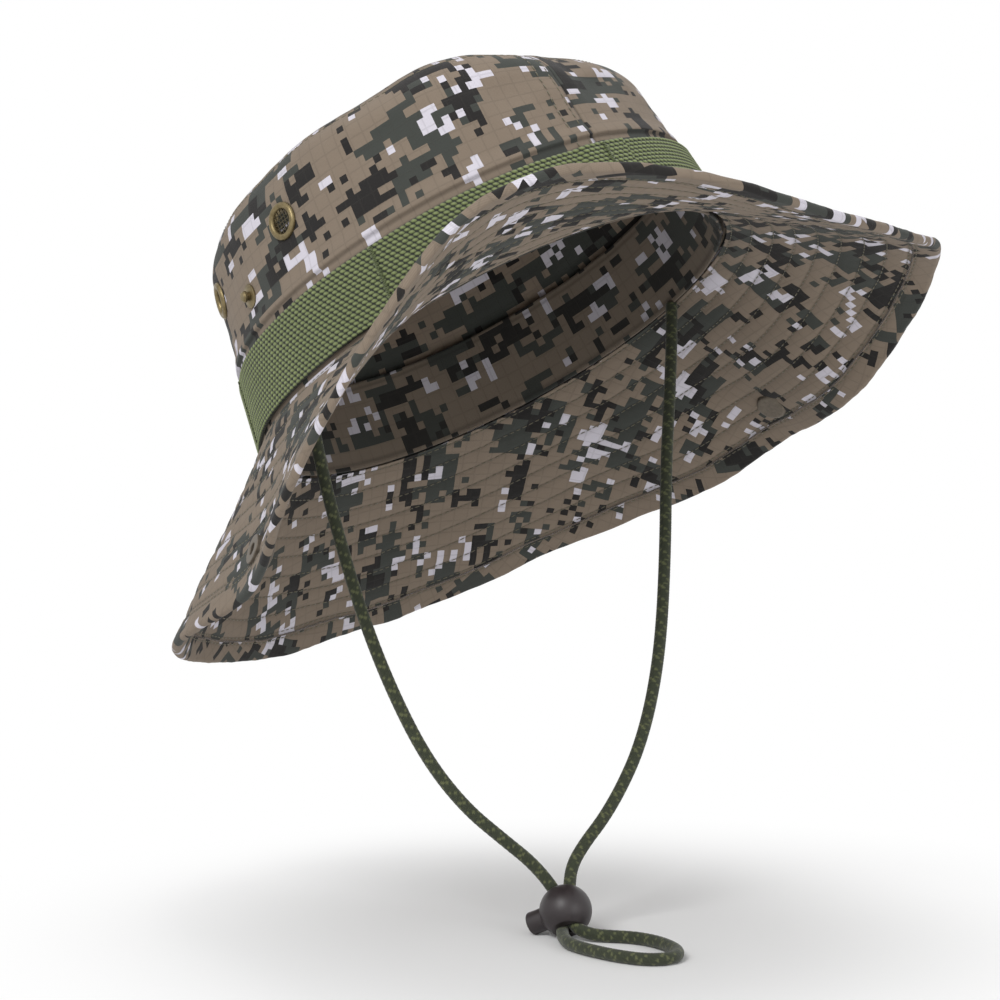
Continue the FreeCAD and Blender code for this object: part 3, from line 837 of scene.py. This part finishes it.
def brim_row(sign, reach, below):
    """One row of stitches round half the brim, on its upper or its lower face."""
    theta = sign * np.linspace(0.3, 179.7, 400)
    reach = np.full(len(theta), reach)
    puff, _ = quilting(reach)
    depth = brim_thickness + puff + 0.02 if below else -puff - 0.02
    line = drape(brim_point(theta, reach, depth), reach, theta)
    _, out = ring(theta)
    fall = np.radians(droop(theta))
    normal = out * np.sin(fall)[:, None]
    normal[:, 2] = np.cos(fall)
    normal = normal @ worn_array.T * (-1 if below else 1)
    return spaced(in_row(line), normal, stitch_pitch)


for side, sign in (("right", -1), ("left", 1)):
    rows = []
    for reach in sewn_rows:
        for below in (False, True):
            rows.append(brim_row(sign, reach, below))
    stitches = stitch_mesh("brim_stitches_" + side, rows)
    turn_up(stitches, side, sign)


def crown_row(theta, share, lift):
    """One row of stitches on the crown, lifted off the cut shape by its seam."""
    radius, height = profile(share)
    along, out = ring(theta)
    points = along * radius[:, None]
    points[:, 2] = height
    points += out * lift
    return spaced(in_row(slump(points)), out @ worn_array.T, stitch_pitch)


top_row = 0.955
around = np.linspace(-180, 180, 900)
upright = np.linspace(0.34, top_row, 90)
crown_rows = [crown_row(around, np.full(900, top_row), 0.05)]
for middle in (0.0, 180.0):
    for offset in (-5.0, -1.6):
        crown_rows.append(crown_row(np.full(90, middle + offset), upright, 0.5))
crown_stitches = stitch_mesh("crown_stitches", crown_rows)
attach(crown_stitches, "hat")

# ---------------------------------------------------------------- sweatband and seam tape
# A folded strip of the same cloth sewn round inside the opening, and the cotton tape that binds
# the raw edges of the tip seam.
band_cloth = camouflage("sweatband_cloth", darker=0.35)
band_height = 30.0
head_half_width = 83.0


def sweatband_shape(u, v):
    """The strip against the foot of the crown, a little wavy, with a row of stitches at each edge drawn as
    painted shade.
    """
    theta = 360.0 * u
    height = -1.5 + (band_height + 1.5) * v
    along, out = ring(theta)
    points = along * (head_half_width - wall_taper * np.maximum(height, 0))[:, None]
    points[:, 2] = height
    points += out * (0.35 * ripple(points, 24.0, 31) * smooth(v, 0.1, 0.6))[:, None] - out * 0.4
    pattern = np.stack([np.radians(theta) * 91.0 + 700, height], 1)
    # Painted shade along a stitch line near each edge.
    edge = np.exp(-((np.minimum(v, 1 - v) * 31.5 - 2.2) / 0.4) ** 2)
    return in_row(points), pattern, {"groove_shade": edge}


sweatband = grid_mesh("sweatband_strip", 360, 30, sweatband_shape, round_u=True)
face_outwards(sweatband, (0.0, 0.0, 15.0))
thicken(sweatband, 0.9)
sweatband.data.materials.append(band_cloth)
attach(sweatband, "hat")
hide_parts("sweatband")

tape_cloth, tape_shader = material("cotton_tape", 0.9, sheen=0.1)
n = Nodes(tape_cloth)
cotton = n.noise(n.pattern(), 1.2, 2.0)
n.feed(tape_shader.inputs["Base Color"], n.mix(cotton, paint(48, 50, 36), paint(78, 78, 58)))
n.feed(tape_shader.inputs["Normal"], n.bump(n.noise(n.pattern(), 2.5, 2.0), 0.0001, 0.6))


def tape_shape(u, v):
    """The tape under the shoulder of the crown."""
    theta = 360.0 * u
    share = 0.90 + 0.095 * v
    radius, height = profile(share)
    along, out = ring(theta)
    points = along * (radius - 1.6)[:, None]
    points[:, 2] = height - 0.9
    pattern = np.stack([np.radians(theta) * 80.0, v * 9.0], 1)
    return in_row(slump(points)), pattern, {}


seam_tape = grid_mesh("crown_seam_tape_strip", 240, 6, tape_shape, round_u=True)
face_outwards(seam_tape, (0.0, 0.0, 60.0))
thicken(seam_tape, 0.5)
seam_tape.data.materials.append(tape_cloth)
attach(seam_tape, "hat")
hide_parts("crown_seam_tape")

# ---------------------------------------------------------------- webbing loops
# One length of coarse olive webbing, 25 mm wide, goes round the foot of the crown and overlaps
# itself at the front. Six bar tacks hold it down and leave flat loops between them.
webbing_width = 25.0
webbing_thickness = 1.5
webbing_up = 1.5
tack_angles = (0.0, 58.0, 120.0, 180.0, 240.0, 302.0)
weave_along = 2.3
weave_across = 25.0 / 16


def webbing_lift(theta):
    """How far the webbing stands off the crown between its tacks."""
    nearest = np.min([np.abs(apart(theta, a)) for a in tack_angles], axis=0)
    return 0.9 * smooth(nearest, 2.0, 20.0)


def webbing_point(theta, across, out_by):
    """Place on the webbing: across runs from its lower to its upper edge."""
    along, out = ring(theta)
    height = webbing_up + across
    points = along * (wall_radius - wall_taper * height)[:, None]
    points[:, 2] = height
    return points + out * (out_by + webbing_lift(theta))[:, None]


def webbing_shape(u, v):
    """The whole length, with its coarse weave raised and its end lapped over its start."""
    theta = -5.0 + 371.0 * u
    edge = 0.05
    front = smooth(v, 0.0, edge) * (1 - smooth(v, 1 - edge, 1.0))
    across = np.clip((v - edge) / (1 - 2 * edge), 0, 1) * webbing_width
    run = np.radians(theta) * 93.0
    row = np.floor(across / weave_across)
    beside = (run / weave_along + row * 0.5) % 1 - 0.5
    above = across / weave_across - row - 0.5
    relief = np.sqrt(np.clip(1 - (beside / 0.5) ** 2 - (above / 0.52) ** 2, 0, 1))
    lap = 1.75 * smooth(theta, 352.0, 355.5)
    out_by = 0.1 + lap + (webbing_thickness - 0.4 + 0.5 * relief) * front
    points = webbing_point(theta, across, out_by)
    pattern = np.stack([run, across], 1)
    return in_row(points), pattern, {}


webbing_cloth, webbing_shader = material("olive_webbing", 0.72, sheen=0.1)
n = Nodes(webbing_cloth)
split = n.add("ShaderNodeSeparateXYZ")
n.feed(split.inputs[0], n.pattern())
rows = n.math("DIVIDE", split.outputs[1], weave_across)
stagger = n.math("MULTIPLY", n.math("FLOOR", rows), 0.5)
floats = n.math("ADD", n.math("DIVIDE", split.outputs[0], weave_along), stagger)
beside = n.math("SUBTRACT", n.math("FRACT", floats), 0.5)
above = n.math("SUBTRACT", n.math("FRACT", rows), 0.5)
slant = n.math("MULTIPLY_ADD", above, 0.45, beside)
far_along = n.math("POWER", n.math("DIVIDE", slant, 0.5), 2.0)
far_across = n.math("POWER", n.math("DIVIDE", above, 0.52), 2.0)
far = n.math("ADD", far_along, far_across)
relief = n.math("SQRT", n.math("MAXIMUM", n.math("SUBTRACT", 1.0, far), 0.0))
fibres = n.noise(n.vector("MULTIPLY", n.pattern(), (1.2, 7.0, 1.0)), 1.0, 3.0)
yarn = n.mix(fibres, paint(112, 126, 72), paint(148, 158, 108))
shade = n.noise(n.vector("SCALE", n.pattern(), scale=0.05), 1.0, 2.0)
yarn = n.mix(n.math("MULTIPLY", shade, 0.35), yarn, paint(82, 94, 54))
# Painted shade in the gaps between the yarn floats: the colour darkens towards the low parts of the weave.
unshaded_float_top = n.math("POWER", relief, 1.3)
n.feed(webbing_shader.inputs["Base Color"], n.mix(unshaded_float_top, paint(20, 27, 12), yarn))
standing = n.math("MULTIPLY_ADD", fibres, 0.15, relief)
n.feed(webbing_shader.inputs["Normal"], n.bump(standing, 0.0005, 0.8))

webbing = grid_mesh("webbing_loops", 1500, 58, webbing_shape)
face_outwards(webbing, (0.0, 0.0, 12.0))
webbing.data.materials.append(webbing_cloth)
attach(webbing, "hat")
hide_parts("webbing_band")

tack_thread, tack_shader = material("bar_tack_thread", 0.8, sheen=0.2)
n = Nodes(tack_thread)
dyed = n.noise(n.place(), 3.0)
n.feed(tack_shader.inputs["Base Color"], n.mix(dyed, paint(58, 68, 38), paint(98, 108, 68)))

tack_stitches = 34
tack_rows = []
for angle in tack_angles:
    lift = 3.5 if angle == 0.0 else 1.75
    for k in range(tack_stitches):
        across = 1.2 + 22.6 * k / (tack_stitches - 1)
        swing = 0.75 if k % 2 else -0.75
        theta = np.array([angle - swing, angle + swing])
        line = webbing_point(theta, np.array([across, across + 0.66]), lift)
        _, out = ring(theta)
        tack_rows.append((in_row(line), out @ worn_array.T))
tacks = stitch_mesh("webbing_bar_tack_threads", tack_rows, width=0.34)
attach(tacks, "hat")
tacks.data.materials[0] = tack_thread
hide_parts("webbing_bar_tacks")

# ---------------------------------------------------------------- eyelets and snaps
# Pressed brass eyelets with a fine mesh, two on each side of the crown, and between them the
# stud of a snap fastener. Its socket and cap are riveted through the brim. All are antiqued.
brass, brass_shader = material("antique_brass", 0.42, metal=0.85)
n = Nodes(brass)
patina = n.noise(n.place(), 0.55, 4.0, 0.6)
n.feed(brass_shader.inputs["Base Color"], n.mix(patina, paint(74, 64, 44), paint(158, 142, 104)))
n.feed(brass_shader.inputs["Roughness"], n.math("MULTIPLY_ADD", patina, -0.3, 0.58))
n.feed(brass_shader.inputs["Normal"], n.bump(n.noise(n.place(), 2.0, 2.0), 0.00004, 0.5))

dark_mesh, mesh_shader = material("blackened_mesh", 0.6, metal=0.5)
n = Nodes(dark_mesh)
tarnish = n.noise(n.place(), 1.5, 3.0)
n.feed(mesh_shader.inputs["Base Color"], n.mix(tarnish, paint(44, 40, 30), paint(92, 84, 62)))

dull_metal, dull_shader = material("dull_snap_metal", 0.5, metal=0.6)
n = Nodes(dull_metal)
worn_metal = n.noise(n.place(), 0.8, 4.0, 0.6)
n.feed(dull_shader.inputs["Base Color"], n.mix(worn_metal, paint(70, 64, 58), paint(128, 118, 104)))
n.feed(dull_shader.inputs["Roughness"], n.math("MULTIPLY_ADD", worn_metal, 0.25, 0.38))

finish_nodes(brass, "snap_studs", "snap_stud_posts", "vent_eyelets", "vent_washers")
finish_nodes(dark_mesh, "vent_screens")
finish_nodes(dull_metal, "snap_socket_right", "snap_socket_left", "snap_cap_right", "snap_cap_left")

# ---------------------------------------------------------------- floor, light and air
# A plain pale floor under the lock and the end of the cord, which turns white a little way off.
# Three large panels light the hat softly, and the sky is even.
def seen_rays(n):
    """1 for what the camera sees, straight or in a reflection, and 0 for the rest."""
    ray = n.add("ShaderNodeLightPath")
    return n.math("MAXIMUM", ray.outputs["Is Camera Ray"], ray.outputs["Is Glossy Ray"])


bm = bmesh.new()
bmesh.ops.create_grid(bm, x_segments=1, y_segments=1, size=6.0)
floor_mesh = bpy.data.meshes.new("floor")
bm.to_mesh(floor_mesh)
bm.free()
floor_mesh.transform(Matrix.Translation((0, 0, cad_low.z)))
floor = mesh_object("floor", floor_mesh)
floor_paint, floor_shader = material("floor_paint", 0.9)
floor_shader.inputs["Base Color"].default_value = (0.9, 0.9, 0.9, 1)
n = Nodes(floor_paint)
spot = n.vector("MULTIPLY", n.add("ShaderNodeTexCoord").outputs["Object"], (1, 1, 0))
away = n.add("ShaderNodeVectorMath", operation="DISTANCE")
n.feed(away.inputs[0], spot)
away.inputs[1].default_value = (0.085, -0.015, 0)
fade = n.add("ShaderNodeMapRange", interpolation_type="SMOOTHSTEP")
n.feed(fade.inputs["Value"], away.outputs["Value"])
fade.inputs["From Min"].default_value = 0.06
fade.inputs["From Max"].default_value = 0.24
white = n.add("ShaderNodeEmission")
blend = n.add("ShaderNodeMixShader")
n.feed(blend.inputs[0], n.math("MULTIPLY", fade.outputs[0], seen_rays(n)))
n.feed(blend.inputs[1], floor_shader.outputs[0])
n.feed(blend.inputs[2], white.outputs[0])
n.feed(floor_paint.node_tree.nodes["Material Output"].inputs["Surface"], blend.outputs[0])
floor_mesh.materials.append(floor_paint)

world = bpy.data.worlds.new("air")
bpy.context.scene.world = world
world.use_nodes = True
n = Nodes(world)
sky = world.node_tree.nodes["Background"]
strength = n.add("ShaderNodeMapRange")
n.feed(strength.inputs["Value"], seen_rays(n))
strength.inputs["To Min"].default_value = 0.5
strength.inputs["To Max"].default_value = 1.0
n.feed(sky.inputs["Strength"], strength.outputs[0])
sky.inputs["Color"].default_value = (1, 1, 1, 1)


def panel_light(name, place, size, power):
    """A round panel, turned to the hat."""
    lamp = bpy.data.lights.new(name, "AREA")
    lamp.shape = "DISK"
    lamp.size = size
    lamp.energy = power
    holder = bpy.data.objects.new(name, lamp)
    bpy.context.scene.collection.objects.link(holder)
    holder.location = place
    towards_hat = Vector((0, 0, -0.03)) - place
    holder.rotation_euler = towards_hat.to_track_quat("-Z", "Y").to_euler()


key_place = camera_front * 1.3 - camera_side * 0.7 + Vector((0, 0, 1.1))
fill_place = camera_front * 1.2 + camera_side * 1.1 + Vector((0, 0, 0.3))
top_place = camera_side * 0.2 - camera_front * 0.5 + Vector((0, 0, 1.5))
panel_light("key_panel", key_place, 0.9, 19.0)
panel_light("fill_panel", fill_place, 1.0, 5.0)
panel_light("top_panel", top_place, 1.0, 8.0)

bpy.context.scene.view_settings.view_transform = "Standard"
